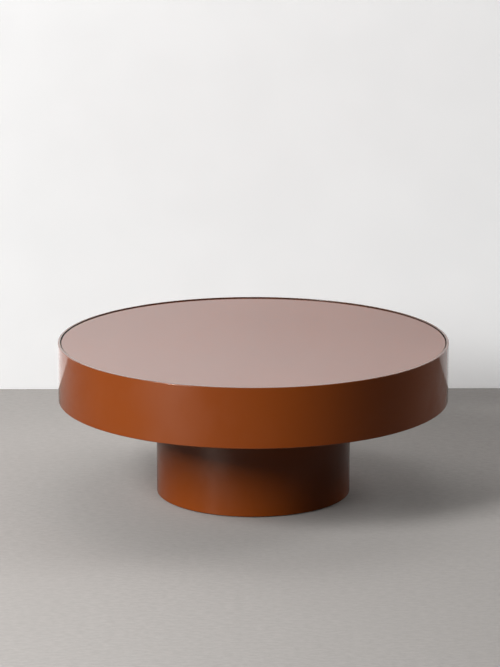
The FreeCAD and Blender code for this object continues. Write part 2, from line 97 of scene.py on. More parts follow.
ZINC = ((0.62, 0.64, 0.66), (0.47, 0.49, 0.51))
BLACK_OXIDE = ((0.030, 0.030, 0.033), (0.055, 0.053, 0.052))
NYLON_BLACK = ((0.016, 0.016, 0.017), (0.028, 0.028, 0.029))
NYLON_WORN = (0.10, 0.098, 0.095)
BUMPER = ((0.86, 0.87, 0.86), (0.93, 0.94, 0.93))
CARPET = ((0.390, 0.368, 0.352), (0.450, 0.427, 0.408))
CARPET_PATCH = (0.405, 0.383, 0.365)
PLASTER = ((0.875, 0.878, 0.880), (0.905, 0.908, 0.910))
BLACK = (0.0, 0.0, 0.0)
WHITE = (1.0, 1.0, 1.0)

# Noise keeps mostly between 0.3 and 0.7. Spread from the narrower span, it has more contrast.
SOFT = (0.3, 0.7)
BOLD = (0.35, 0.65)
# Spans that pick out only the peaks of a noise, with how strongly they show.
BIRCH_STREAKS = (0.42, 0.70, 0.0, 0.55)
PINE_STREAKS = (0.40, 0.75, 0.0, 0.50)
BOARD_FLECKS = (0.50, 0.75, 0.0, 0.50)
NYLON_SCUFFS = (0.40, 0.70)

# Roughness, least and most. The lacquer's and the steel's are shares of their own roughness.
LACQUER_WIPED = (0.8, 1.2)
STEEL_BLOTCHED = (0.8, 1.3)
GLASS_SMEARED = (0.012, 0.035)
PLYWOOD_ROUGH = (0.50, 0.66)
PINE_ROUGH = (0.50, 0.68)
BOARD_ROUGH = (0.62, 0.80)
NYLON_ROUGH = (0.42, 0.60)
BUMPER_ROUGH = (0.12, 0.24)
# What bare veneer and a ground edge add to the roughness.
BARE_DULLNESS = 0.5
GROUND_DULLNESS = 0.4

# Shares of the slow drift and of the fine pigment in the tone of the glass's paint.
DRIFT_SHARE = 0.35
PIGMENT_SHARE = 0.65
# Growth rings of the pine: how many to a metre, how far they lean across it and how they wave.
RINGS_PER_METRE = 170.0
RING_LEAN = 0.55
RING_WAVE = 4.0
LATE_WOOD = (0.45, 0.98)
# A nylon pad is scuffed most at its sole.
SOLE = (0.0, 1.5 * MM, 0.7, 0.0)
# How square to an axis a face has to be to count as facing along it.
SQUARE_ON = (0.6, 0.8)

# Sockets of the Mix node that colours go through.
FIRST_COLOUR = 6
SECOND_COLOUR = 7
MIXED_COLOUR = 2


class Shade:
    """One material. Sockets or plain numbers can be given for any input."""

    def __init__(self, name):
        self.material = bpy.data.materials.new(name)
        self.material.use_nodes = True
        self.tree = self.material.node_tree
        self.skin = self.tree.nodes["Principled BSDF"]
        self.output = self.tree.nodes["Material Output"]
        coordinates = self.tree.nodes.new("ShaderNodeTexCoord")
        self.place = coordinates.outputs["Object"]
        self.normal = coordinates.outputs["Normal"]

    def feed(self, socket, value):
        if isinstance(value, bpy.types.NodeSocket):
            self.tree.links.new(value, socket)
        elif isinstance(value, tuple) and len(value) == 3 and socket.type == "RGBA":
            socket.default_value = (*value, 1)
        else:
            socket.default_value = value

    def node(self, kind, *values, output=0, **settings):
        """A node with its first inputs fed in order, leaving out those given as None."""
        made = self.tree.nodes.new("ShaderNode" + kind)
        for name, setting in settings.items():
            setattr(made, name, setting)
        for socket, value in zip(made.inputs, values):
            if value is not None:
                self.feed(socket, value)
        return made.outputs[output]

    def math(self, operation, *values):
        return self.node("Math", *values, operation=operation)

    def vector(self, operation, *values, output=0):
        return self.node("VectorMath", *values, operation=operation, output=output)

    def part(self, axis, vector=None):
        """The X, Y or Z part of a vector, by default of the place on the object."""
        split = self.tree.nodes.new("ShaderNodeSeparateXYZ")
        self.tree.links.new(vector or self.place, split.inputs[0])
        return split.outputs[axis]

    def scaled(self, axis, along, across):
        """The place on the object, scaled along an axis and across it, to draw out a texture."""
        scales = tuple(along if each == axis else across for each in "XYZ")
        return self.vector("MULTIPLY", self.place, scales)

    def noise(self, scale=1.0, detail=2.0, roughness=0.5, distortion=0.0, place=None):
        made = self.tree.nodes.new("ShaderNodeTexNoise")
        self.tree.links.new(place or self.place, made.inputs["Vector"])
        made.inputs["Scale"].default_value = scale
        made.inputs["Detail"].default_value = detail
        made.inputs["Roughness"].default_value = roughness
        made.inputs["Distortion"].default_value = distortion
        return made.outputs[0]

    def spread(self, value, low, high, to_low=0.0, to_high=1.0):
        """value from low..high to to_low..to_high, held at the ends."""
        made = self.tree.nodes.new("ShaderNodeMapRange")
        made.interpolation_type = "SMOOTHSTEP"
        for socket, number in zip(made.inputs, (value, low, high, to_low, to_high)):
            self.feed(socket, number)
        return made.outputs[0]

    def mix(self, factor, first, second):
        """A colour between two."""
        made = self.tree.nodes.new("ShaderNodeMix")
        made.data_type = "RGBA"
        self.feed(made.inputs["Factor"], factor)
        self.feed(made.inputs[FIRST_COLOUR], first)
        self.feed(made.inputs[SECOND_COLOUR], second)
        return made.outputs[MIXED_COLOUR]

    def radius(self):
        """Distance from the table's axis."""
        flat = self.vector("MULTIPLY", self.place, (1.0, 1.0, 0.0))
        return self.vector("LENGTH", flat, output="Value")

    def facing(self, axis):
        """1 on faces square to an axis, 0 on faces along it."""
        across = self.math("ABSOLUTE", self.part(axis, self.normal))
        return self.spread(across, *SQUARE_ON)

    def rays(self):
        """The kinds of ray that meet the surface."""
        return self.tree.nodes.new("ShaderNodeLightPath").outputs

    def bump(self, height, depth):
        made = self.tree.nodes.new("ShaderNodeBump")
        made.inputs["Strength"].default_value = 1.0
        made.inputs["Distance"].default_value = depth
        self.tree.links.new(height, made.inputs["Height"])
        self.tree.links.new(made.outputs["Normal"], self.skin.inputs["Normal"])
        return made.outputs["Normal"]

    def finish(self, **inputs):
        """Feeds the surface: base_color, roughness, metallic and so on."""
        for name, value in inputs.items():
            words = [word.upper() if word == "ior" else word.capitalize() for word in name.split("_")]
            self.feed(self.skin.inputs[" ".join(words)], value)
        return self.material


# Finishes.


def lacquer(name, low, high, edge, roughness, shine, coat, coat_ior, dark_inside=None, bare_inside=None):
    """Sprayed rust lacquer between two heights, thinner and browner where it breaks over an edge, with
    painted shade inside dark_inside.
    """
    shade = Shade(name)
    drift = shade.spread(shade.noise(scale=2.4, detail=3.0), *BOLD)
    colour = shade.mix(drift, *RUST_BODY)
    height = shade.part("Z")
    below = shade.spread(height, low, low + edge, 1.0, 0.0)
    above = shade.spread(height, high - edge, high)
    thin = shade.math("MAXIMUM", below, above)
    colour = shade.mix(thin, colour, RUST_EDGE)
    wiped = shade.noise(scale=11.0, detail=4.0, roughness=0.6)
    sheen = shade.spread(wiped, *SOFT, *(roughness * share for share in LACQUER_WIPED))
    if dark_inside:
        # Painted shade: inside this radius the lip's inner face is dark rust brown.
        inner_lip_face = shade.spread(shade.radius(), dark_inside - INSIDE_SHADE_BLUR, dark_inside + INSIDE_SHADE_BLUR, 1.0, 0.0)
        inside_shade = shade.mix(shade.noise(scale=600.0), *LIP_INSIDE_SHADE)
        colour = shade.mix(inner_lip_face, colour, inside_shade)
    if bare_inside:
        colour, sheen = with_bare_inside(shade, colour, sheen, bare_inside)
    orange_peel = shade.bump(shade.noise(scale=420.0, detail=1.0), depth=0.006 * MM)
    shade.tree.links.new(orange_peel, shade.skin.inputs["Coat Normal"])
    return shade.finish(base_color=colour, roughness=sheen, specular_ior_level=shine,
                        specular_tint=RUST_SHINE,
                        coat_weight=coat, coat_roughness=0.04, coat_ior=coat_ior)


def with_bare_inside(shade, colour, sheen, radius):
    """Adds the unpainted inner face of a bent plywood hoop, inside a radius."""
    inside = shade.spread(shade.radius(), radius - RADIUS_BLUR, radius + RADIUS_BLUR, 1.0, 0.0)
    grain = shade.noise(detail=5.0, roughness=0.65, place=shade.scaled("Z", along=700.0, across=60.0))
    wood = shade.mix(shade.spread(grain, *SOFT), *BARE_VENEER)
    dull = shade.math("MULTIPLY", inside, BARE_DULLNESS)
    return shade.mix(inside, colour, wood), shade.math("ADD", sheen, dull)


def painted_glass():
    """Toughened glass, back-painted to match the lacquer, with a ground edge."""
    shade = Shade("painted_glass")
    drift = shade.spread(shade.noise(scale=1.9, detail=3.0), *BOLD)
    pigment = shade.spread(shade.noise(scale=1500.0, detail=1.0), *BOLD)
    tone = shade.math("ADD", shade.math("MULTIPLY", drift, DRIFT_SHARE),
                      shade.math("MULTIPLY", pigment, PIGMENT_SHARE))
    paint = shade.mix(tone, *GLASS_PAINT)
    ground = shade.spread(shade.radius(), GLASS_RIM - RADIUS_BLUR, GLASS_RIM + RADIUS_BLUR)
    frost = shade.mix(shade.noise(scale=900.0), *GLASS_FROST)
    smears = shade.noise(scale=6.0, detail=5.0, roughness=0.62)
    polish = shade.spread(smears, 0.35, 0.8, *GLASS_SMEARED)
    roughness = shade.math("ADD", polish, shade.math("MULTIPLY", ground, GROUND_DULLNESS))
    shade.bump(shade.noise(scale=1.6, detail=1.0), depth=0.03 * MM)
    return shade.finish(base_color=shade.mix(ground, paint, frost), roughness=roughness, ior=1.52,
                        specular_ior_level=0.5)


def plywood(name, through, grain):
    """Birch plywood, with the axes through its thickness and along the grain of its faces."""
    shade = Shade(name)
    figure = shade.noise(detail=6.0, roughness=0.62, distortion=0.6,
                         place=shade.scaled(grain, along=9.0, across=260.0))
    flame = shade.noise(detail=3.0, distortion=1.2, place=shade.scaled(grain, along=2.0, across=14.0))
    pale = shade.mix(shade.spread(flame, *BOLD), *BIRCH_FACE)
    face = shade.mix(shade.spread(figure, *BIRCH_STREAKS), pale, BIRCH_FIGURE)
    pair_of_plies = shade.math("MULTIPLY", shade.part(through), 1 / (2 * PLY))
    beat = shade.math("PINGPONG", pair_of_plies, 0.5)
    speckle = shade.noise(scale=1500.0, detail=3.0, roughness=0.7)
    long_ply = shade.mix(shade.spread(figure, 0.35, 0.7), *BIRCH_LONG_PLY)
    end_ply = shade.mix(shade.spread(speckle, *BOLD), *BIRCH_END_PLY)
    edge = shade.mix(shade.spread(beat, 0.22, 0.28), long_ply, end_ply)
    flat = shade.facing(through)
    ridges = shade.math("MULTIPLY", shade.math("SUBTRACT", 1.0, flat), beat)
    shade.bump(shade.math("ADD", ridges, figure), depth=0.12 * MM)
    return shade.finish(base_color=shade.mix(flat, edge, face),
                        roughness=shade.spread(figure, *SOFT, *PLYWOOD_ROUGH), specular_ior_level=0.35)


def softwood():
    """Planed pine batten with its grain upright."""
    shade = Shade("softwood")
    bend = shade.noise(place=shade.scaled("Z", along=1.6, across=14.0))
    fibre = shade.noise(detail=5.0, roughness=0.65, place=shade.scaled("Z", along=22.0, across=900.0))
    lean = shade.math("ADD", shade.part("X"), shade.math("MULTIPLY", shade.part("Y"), RING_LEAN))
    rings = shade.math("ADD", shade.math("MULTIPLY", lean, RINGS_PER_METRE),
                       shade.math("MULTIPLY", bend, RING_WAVE))
    late = shade.spread(shade.math("FRACT", rings), *LATE_WOOD)
    colour = shade.mix(late, *PINE_RINGS)
    colour = shade.mix(shade.spread(fibre, *PINE_STREAKS), colour, PINE_FIBRE)
    shade.bump(shade.math("ADD", late, fibre), depth=0.1 * MM)
    return shade.finish(base_color=colour, roughness=shade.spread(fibre, *SOFT, *PINE_ROUGH),
                        specular_ior_level=0.35)


def fibreboard():
    """Medium-density fibreboard, denser and darker at its faces than in its sawn edge."""
    shade = Shade("fibreboard")
    fibre = shade.noise(scale=650.0, detail=5.0, roughness=0.72)
    cloud = shade.noise(scale=16.0, detail=3.0)
    face = shade.mix(shade.spread(cloud, *BOLD), *BOARD_FACE)
    sawn = shade.mix(shade.spread(fibre, *BOLD), *BOARD_SAWN)
    colour = shade.mix(shade.facing("Z"), sawn, face)
    colour = shade.mix(shade.spread(fibre, *BOARD_FLECKS), colour, BOARD_FLECK)
    shade.bump(fibre, depth=0.05 * MM)
    return shade.finish(base_color=colour, roughness=shade.spread(fibre, *SOFT, *BOARD_ROUGH),
                        specular_ior_level=0.3)


def plated_steel(name, colours, roughness, metallic):
    """Plated or blackened steel, with a slightly blotched finish."""
    shade = Shade(name)
    blotch = shade.noise(scale=140.0, detail=4.0, roughness=0.6)
    scuffs = shade.noise(detail=3.0, place=shade.scaled("Z", along=260.0, across=2400.0))
    sheen = shade.spread(blotch, *SOFT, *(roughness * share for share in STEEL_BLOTCHED))
    shade.bump(scuffs, depth=0.015 * MM)
    return shade.finish(base_color=shade.mix(shade.spread(blotch, 0.35, 0.68), *colours),
                        roughness=sheen, metallic=metallic)


def nylon():
    """Moulded black nylon with a fine spark-eroded texture and a scuffed sole."""
    shade = Shade("nylon")
    grain = shade.noise(scale=1800.0)
    scuff = shade.noise(scale=90.0, detail=5.0, roughness=0.7)
    sole = shade.spread(shade.part("Z"), *SOLE)
    dark = shade.mix(shade.spread(grain, *BOLD), *NYLON_BLACK)
    worn = shade.math("MULTIPLY", sole, shade.spread(scuff, *NYLON_SCUFFS))
    shade.bump(grain, depth=0.06 * MM)
    return shade.finish(base_color=shade.mix(worn, dark, NYLON_WORN),
                        roughness=shade.spread(scuff, *SOFT, *NYLON_ROUGH), specular_ior_level=0.4)


def clear_bumper():
    """Clear soft pads, a little cloudy."""
    shade = Shade("clear_bumper")
    cloud = shade.noise(scale=260.0, detail=3.0)
    shade.bump(shade.noise(scale=700.0), depth=0.02 * MM)
    return shade.finish(base_color=shade.mix(shade.spread(cloud, *BOLD), *BUMPER),
                        roughness=shade.spread(cloud, *SOFT, *BUMPER_ROUGH),
                        ior=1.49, transmission_weight=0.85)


def clothe(material, *names):
    for name in names:
        mesh = nodes[name].data
        mesh.materials.clear()
        mesh.materials.append(material)


drum_lacquer = lacquer(
    "drum_lacquer", drum_low.z, drum_high.z, edge=1.6 * MM, roughness=0.40, shine=0.24,
    coat=1.0, coat_ior=1.28, dark_inside=DRUM_INSIDE + 0.4 * MM,
)
pedestal_lacquer = lacquer(
    "pedestal_lacquer", pedestal_low.z, pedestal_high.z, edge=1.2 * MM, roughness=0.35, shine=0.30,
    coat=1.0, coat_ior=1.15, bare_inside=PEDESTAL_INSIDE + 0.5 * MM,
)
satin_lacquer = lacquer(
    "satin_lacquer", soffit_low.z, soffit_high.z, edge=0.2 * MM, roughness=0.42, shine=0.40,
    coat=0.0, coat_ior=1.28,
)
zinc_steel = plated_steel("zinc_steel", ZINC, roughness=0.36, metallic=1.0)
black_steel = plated_steel("black_steel", BLACK_OXIDE, roughness=0.42, metallic=0.8)
clothe(drum_lacquer, "drum_hoop")
clothe(pedestal_lacquer, "pedestal_hoop")
clothe(satin_lacquer, "soffit_panel")
clothe(painted_glass(), "glass_top")
clothe(clear_bumper(), "glass_bumpers")
clothe(fibreboard(), "deck_panel")
clothe(plywood("birch_plywood_flat", "Z", "X"), "pedestal_head_plate", "pedestal_base_ring",
       "pedestal_former_ring")
clothe(plywood("birch_plywood_long", "Y", "X"), *LONG_RIBS)
clothe(plywood("birch_plywood_cross", "X", "Y"), *CROSS_RIBS)
clothe(softwood(), *STILES)
clothe(zinc_steel, "insert_nuts", "bolt_washers", "stile_screws", "leveller_sockets")
clothe(nylon(), *PADS)

# The tip of each screw and of its pilot hole keeps a triangle of no area from the CAD mesh, which a
# weld closes.
for name in ("stile_screws", *STILES):
    weld = nodes[name].modifiers.new("closed_tips", "WELD")
    weld.merge_threshold = SAME_PLACE


# Fasteners with true threads. Each is one skin of rows, and a row is a radius and a height for
# each step round an upright axis.

AROUND = 48
SMOOTH_BELOW = math.radians(35)
PITCH = 1.25 * MM
THREAD_RADIUS = 4 * MM
THREAD_DEPTH = 0.6134 * PITCH
# Corners of the thread's profile: share of the pitch, share of the depth.
THREAD_KNOTS = ((0.0, 0.0), (1 / 8, 0.0), (7 / 16, 1.0), (11 / 16, 1.0))
CLIMB = len(THREAD_KNOTS)
SPARE_TURNS = 2
# Degrees round a hexagon that one side takes, and how its corners are turned off.
HEXAGON_SIDE = 60
CORNER_SLOPE = math.tan(math.radians(30))
CORNER_INSET = 0.35 * MM

# Stem of a levelling foot, from its spigot up.
SPIGOT_RADIUS = 3 * MM
SPIGOT_HEIGHT = 4 * MM
SPIGOT_CHAMFER = 0.3 * MM
SPANNER_FLATS = 14 * MM
SPANNER_HEIGHT = 6 * MM
NECK_RADIUS = 3.2 * MM
NECK_HEIGHT = 1 * MM
STEM_POINT = 1 * MM

# Connector bolt, from the face of its head up.
BOLT_COUNT = 8
FIRST_BOLT = math.radians(22.5)
SOCKET_FLATS = 6 * MM
SOCKET_DEPTH = 4 * MM
SOCKET_LEAD = 0.3 * MM
SOCKET_MOUTH = 3.75 * MM
DRILL_DEPTH = 4.6 * MM
DRILL_TIP = 0.01 * MM
HEAD_RADIUS = 6.5 * MM
HEAD_HEIGHT = 8 * MM
HEAD_CHAMFER = 0.8 * MM
KNURL_DEPTH = 0.28 * MM
KNURL_RUN_OUT = 0.3 * MM
COLLAR_HEIGHT = 0.7 * MM
PLAIN_SHANK = 22 * MM
BOLT_POINT = 0.8 * MM


def level_row(radius, height):
    return [(radius, height)] * AROUND


def hexagon_reach(step, across_flats):
    """Distance from a hexagon's middle to its side, with a corner on the first step."""
    from_flat = math.radians(360 * step / AROUND % HEXAGON_SIDE - HEXAGON_SIDE / 2)
    return across_flats / 2 / math.cos(from_flat)


def hexagon_row(across_flats, height):
    return [(hexagon_reach(step, across_flats), height) for step in range(AROUND)]


def hexagon_nut_rows(across_flats, low, high):
    """A hexagon whose corners are turned off above and below."""
    face = across_flats / 2 - CORNER_INSET
    reaches = [hexagon_reach(step, across_flats) for step in range(AROUND)]
    drops = [(reach - face) * CORNER_SLOPE for reach in reaches]
    return [
        level_row(face, low),
        [(reach, low + drop) for reach, drop in zip(reaches, drops)],
        [(reach, high - drop) for reach, drop in zip(reaches, drops)],
        level_row(face, high),
    ]


def knurled_row(radius, depth, height):
    return [(radius - depth * (step % 2), height) for step in range(AROUND)]


def thread_depth_at(share):
    """Depth of the profile at a share of the pitch, from 0 to 1."""
    knots = (*THREAD_KNOTS, (1.0, 0.0))
    for (start, depth), (end, next_depth) in zip(knots, knots[1:]):
        if share <= end:
            return depth + (next_depth - depth) * (share - start) / (end - start)


def thread_rows(low, high, point):
    """Rows that climb one pitch each turn, cut level at both ends, with a chamfered point."""
    rows = []
    turns = math.ceil((high - low) / PITCH) + 2 * SPARE_TURNS
    for number in range(turns * CLIMB + 1):
        turn, knot = divmod(number, CLIMB)
        share, depth = THREAD_KNOTS[knot]
        row = []
        for step in range(AROUND):
            start = low - SPARE_TURNS * PITCH + PITCH * step / AROUND
            height = start + (turn + share) * PITCH
            reach = THREAD_RADIUS - THREAD_DEPTH * depth
            if not low < height < high:
                height = min(max(height, low), high)
                reach = THREAD_RADIUS - THREAD_DEPTH * thread_depth_at((height - start) / PITCH % 1)
            turned_down = THREAD_RADIUS - max(0.0, height - (high - point))
            row.append((min(reach, turned_down), height))
        rows.append(row)
    return rows


def add_skin(form, plain, thread, centre):
    """Joins plain rows and then the rows of a thread into one closed skin."""
    rings = []
    for row in plain + thread:
        ring = []
        for step, (radius, height) in enumerate(row):
            angle = math.tau * step / AROUND
            place = (centre.x + radius * math.cos(angle), centre.y + radius * math.sin(angle), height)
            ring.append(form.verts.new(place))
        rings.append(ring)
    last = len(rings) - 1
    for number in range(last):
        lower, upper = rings[number], rings[number + 1]
        for step in range(AROUND - 1):
            form.faces.new((lower[step], lower[step + 1], upper[step + 1], upper[step]))
        climb = CLIMB if number >= len(plain) else 0
        if number + climb < last:
            next_lower, next_upper = rings[number + climb], rings[number + climb + 1]
            form.faces.new((lower[-1], next_lower[0], next_upper[0], upper[-1]))
    form.faces.new(reversed(rings[0]))
    form.faces.new(rings[last])


def fastener(name, body, node, material, plain, thread, centres):
    """Pieces of one shape, standing at several centres, in place of a node."""
    form = bmesh.new()
    for centre in centres:
        add_skin(form, plain, thread, centre)
    bmesh.ops.remove_doubles(form, verts=form.verts, dist=SAME_PLACE)
    bmesh.ops.recalc_face_normals(form, faces=form.faces)
    for face in form.faces:
        face.smooth = True
    for edge in form.edges:
        edge.smooth = edge.calc_face_angle(0.0) < SMOOTH_BELOW
    mesh = bpy.data.meshes.new(name)
    form.to_mesh(mesh)
    form.free()
    mesh.materials.append(material)
    piece = bpy.data.objects.new(name, mesh)
    scene.collection.objects.link(piece)
    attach(piece, body)
    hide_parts(node)


def leveller_stem(number):
    """Stem of a levelling foot: spigot, hexagon for a spanner, neck and thread."""
    node = f"leveller_stem_{number}"
    low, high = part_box(node)
    spigot = low.z
    hexagon = spigot + SPIGOT_HEIGHT
    neck = hexagon + SPANNER_HEIGHT
    thread = neck + NECK_HEIGHT
    plain = [
        level_row(SPIGOT_RADIUS - SPIGOT_CHAMFER, spigot),
        level_row(SPIGOT_RADIUS, spigot + SPIGOT_CHAMFER),
        level_row(SPIGOT_RADIUS, hexagon),
        *hexagon_nut_rows(SPANNER_FLATS, hexagon, neck),
        level_row(NECK_RADIUS, neck),
        level_row(NECK_RADIUS, thread),
    ]
    fastener(f"threaded_stem_{number}", node, node, zinc_steel, plain,
             thread_rows(thread, high.z, STEM_POINT), [(low + high) / 2])


def connector_bolts():
    """Socket-head bolts with a knurled head. Only the upper part of the shank is threaded."""
    low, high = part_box("connector_bolts")
    face = low.z
    seat = face + HEAD_HEIGHT
    knurl_low = face + HEAD_CHAMFER
    knurl_high = seat - COLLAR_HEIGHT
    thread = seat + PLAIN_SHANK
    plain = [
        level_row(DRILL_TIP, face + DRILL_DEPTH),
        hexagon_row(SOCKET_FLATS, face + SOCKET_DEPTH),
        hexagon_row(SOCKET_FLATS, face + SOCKET_LEAD),
        level_row(SOCKET_MOUTH, face),
        level_row(HEAD_RADIUS - HEAD_CHAMFER, face),
        level_row(HEAD_RADIUS, knurl_low),
        knurled_row(HEAD_RADIUS, KNURL_DEPTH, knurl_low + KNURL_RUN_OUT),
        knurled_row(HEAD_RADIUS, KNURL_DEPTH, knurl_high - KNURL_RUN_OUT),
        level_row(HEAD_RADIUS, knurl_high),
        level_row(HEAD_RADIUS, seat),
        level_row(THREAD_RADIUS, seat),
        level_row(THREAD_RADIUS, thread),
    ]
    radius = (high.x - HEAD_RADIUS) / math.cos(FIRST_BOLT)
    angles = [FIRST_BOLT + math.tau * number / BOLT_COUNT for number in range(BOLT_COUNT)]
    centres = [Vector((radius * math.cos(angle), radius * math.sin(angle), 0.0)) for angle in angles]
    fastener("knurled_bolts", "table", "connector_bolts", black_steel, plain,
             thread_rows(thread, high.z, BOLT_POINT), centres)


for number in range(1, LEVELLER_COUNT + 1):
    leveller_stem(number)
connector_bolts()


# Floor and wall. Both are seen from one side only, so that other views aren't blocked.

FLOOR_REACH = 14.0
WALL_DISTANCE = 1.0618
WALL_SKEW = 0.0077
WALL_REACH = 2.2
WALL_HEIGHT = 6.0
WALL_LEFT = WALL_DISTANCE - WALL_SKEW * WALL_REACH
WALL_RIGHT = WALL_DISTANCE + WALL_SKEW * WALL_REACH

# How the floor's tone varies, as painted light and shade: lighter to the left towards the key,
# darker towards the wall, and a painted shadow of the drum in the right-hand corner by the wall.
# A span of four is a place, a further place and the value at each, and a span of two goes from 0 to 1
# between its places.
FLOOR_PAINTED_LIGHT_ACROSS = (-1.2, 1.2, 1.10, 0.90)
FLOOR_PAINTED_SHADE_AWAY = (0.15, 1.05, 1.0, 0.87)
FLOOR_CORNER_SHADOW_ACROSS = (0.0, 0.7)
FLOOR_CORNER_SHADOW_AWAY = (0.78, 0.98, 0.0, 0.24)
# Behind the wall the floor gets no light from it, so its tone is raised there to match.
FLOOR_BEHIND = (WALL_DISTANCE, WALL_DISTANCE + 2 * MM, 0.0, 0.36)
FLOOR_BEHIND_ENDS = (1.5, 2.6, 1.0, 0.0)
# Mirrors see this share of the floor's colour, by distance from the table's axis. Light bounces off
# the other colour.
FLOOR_MIRRORED = (0.5, 1.5, 0.50, 0.36)
FLOOR_BOUNCE = (0.094, 0.079, 0.062)
# Far out, past the reach of the lamps, the floor is lifted to one tone for the camera.
FLOOR_FAR = (2.4, 4.5)
FLOOR_LIFT = (*FLOOR_FAR, 0.015, 0.38)
FLOOR_LIFT_COLOUR = (1.0, 0.95, 0.91)

# How far the wall is lifted towards white, a glow for the camera and mirrors: more across to the right
# and near the floor, painted light that evens out its shading, and less at the foot on the shadow
# side, a painted shadow of the table.
WALL_LIFT = (-0.9, 0.9, 0.147, 0.222)
WALL_LIFT_LOW = (0.0, 1.1, 0.075, 0.0)
WALL_FOOT_SHADOW = (-0.05, 0.35, 0.42, 0.0)
WALL_SHADOW_SIDE = (-0.3, 0.6)
# What mirrors get on top of that, a painted glow seen only in mirrors, taken slightly below zero at the
# low right as a painted shadow of the table. The drum's sides mirror the low part of the wall, and the
# glass the high part and, towards its front, the top.
GLARE_LOW = (-0.6, 0.6, 0.34, -0.03)
GLARE_HIGH = (-0.6, 0.6, 0.24, 0.005)
GLARE_TURN = (0.30, 0.52)
GLARE_TOP = (0.55, 0.82, 0.0, 0.24)


def sheet(name, corners, material):
    mesh = bpy.data.meshes.new(name)
    mesh.from_pydata(corners, [], [(0, 1, 2, 3)])
    mesh.materials.append(material)
    made = bpy.data.objects.new(name, mesh)
    scene.collection.objects.link(made)
    made.visible_shadow = False


def one_sided(shade):
    """Lets a ray through the back of a stage sheet."""
    clear = shade.tree.nodes.new("ShaderNodeBsdfTransparent")
    sides = shade.tree.nodes.new("ShaderNodeMixShader")
    geometry = shade.tree.nodes.new("ShaderNodeNewGeometry")
    shade.tree.links.new(geometry.outputs["Backfacing"], sides.inputs[0])
    shade.tree.links.new(shade.skin.outputs[0], sides.inputs[1])
    shade.tree.links.new(clear.outputs[0], sides.inputs[2])
    shade.tree.links.new(sides.outputs[0], shade.output.inputs["Surface"])


def floor_material():
    """Pale grey cord carpet, with painted light and shade in its tone."""
    shade = Shade("stage_floor")
    weave = shade.noise(detail=4.0, roughness=0.7, place=shade.scaled("X", along=45.0, across=110.0))
    patches = shade.noise(scale=1.2, detail=3.0)
    colour = shade.mix(shade.spread(weave, *SOFT), *CARPET)
    colour = shade.mix(shade.spread(patches, *BOLD, 0.0, 0.35), colour, CARPET_PATCH)
    across, away, radius = shade.part("X"), shade.part("Y"), shade.radius()
    # Painted light and shade: lighter to the left, darker towards the wall.
    tone = shade.math("MULTIPLY", shade.spread(across, *FLOOR_PAINTED_LIGHT_ACROSS), shade.spread(away, *FLOOR_PAINTED_SHADE_AWAY))
    # Painted shadow of the drum in the right-hand corner by the wall.
    corner_painted_shadow = shade.math("MULTIPLY", shade.spread(across, *FLOOR_CORNER_SHADOW_ACROSS),
                        shade.spread(away, *FLOOR_CORNER_SHADOW_AWAY))
    tone = shade.math("MULTIPLY", tone, shade.math("SUBTRACT", 1.0, corner_painted_shadow))
    past_wall = shade.math("SUBTRACT", away, shade.math("MULTIPLY", across, WALL_SKEW))
    ends = shade.spread(shade.math("ABSOLUTE", across), *FLOOR_BEHIND_ENDS)
    raised = shade.math("MULTIPLY", shade.spread(past_wall, *FLOOR_BEHIND), ends)
    tone = shade.math("MULTIPLY", tone, shade.math("ADD", 1.0, raised))
    colour = shade.vector("SCALE", colour, None, None, tone)
    rays = shade.rays()
    mirrored = shade.math("MAXIMUM", rays["Is Glossy Ray"], rays["Is Transmission Ray"])
    mirrored = shade.math("MULTIPLY", mirrored, shade.spread(radius, *FLOOR_MIRRORED))
    seen = shade.math("MAXIMUM", rays["Is Camera Ray"], mirrored)
    colour = shade.mix(seen, FLOOR_BOUNCE, colour)
    far = shade.math("MULTIPLY", rays["Is Camera Ray"], shade.spread(radius, *FLOOR_FAR))
    colour = shade.mix(far, colour, BLACK)
    lift = shade.math("MULTIPLY", rays["Is Camera Ray"], shade.spread(radius, *FLOOR_LIFT))
    shade.bump(weave, depth=1.0 * MM)
    shade.finish(base_color=colour, roughness=0.9, specular_ior_level=0.15,
                 emission_color=FLOOR_LIFT_COLOUR, emission_strength=lift)
    one_sided(shade)
    return shade.material


def wall_material():
    """White plaster, very slightly mottled, lifted towards white where it is seen or mirrored, by
    painted light and shadow.
    """
    shade = Shade("stage_wall")
    mottle = shade.noise(scale=7.0, detail=5.0, roughness=0.62)
    across, height = shade.part("X"), shade.part("Z")
    # Painted shadow of the table at the wall's foot on the shadow side.
    foot_painted_shadow = shade.math("MULTIPLY", shade.spread(height, *WALL_FOOT_SHADOW),
                        shade.spread(across, *WALL_SHADOW_SIDE))
    lift = shade.math("ADD", shade.spread(across, *WALL_LIFT), shade.spread(height, *WALL_LIFT_LOW))
    lift = shade.math("MULTIPLY", lift, shade.math("SUBTRACT", 1.0, foot_painted_shadow))
    low_glare = shade.spread(across, *GLARE_LOW)
    high_glare = shade.spread(across, *GLARE_HIGH)
    glare = shade.spread(height, *GLARE_TURN, low_glare, high_glare)
    glare = shade.math("ADD", glare, shade.spread(height, *GLARE_TOP))
    rays = shade.rays()
    lift = shade.math("ADD", lift, shade.math("MULTIPLY", rays["Is Glossy Ray"], glare))
    seen = shade.math("MAXIMUM", rays["Is Camera Ray"], rays["Is Glossy Ray"])
    seen = shade.math("MAXIMUM", seen, rays["Is Transmission Ray"])
    shade.finish(base_color=shade.mix(shade.spread(mottle, *SOFT), *PLASTER), roughness=0.9,
                 specular_ior_level=0.1, emission_color=WHITE,
                 emission_strength=shade.math("MULTIPLY", seen, lift))
    one_sided(shade)
    return shade.material


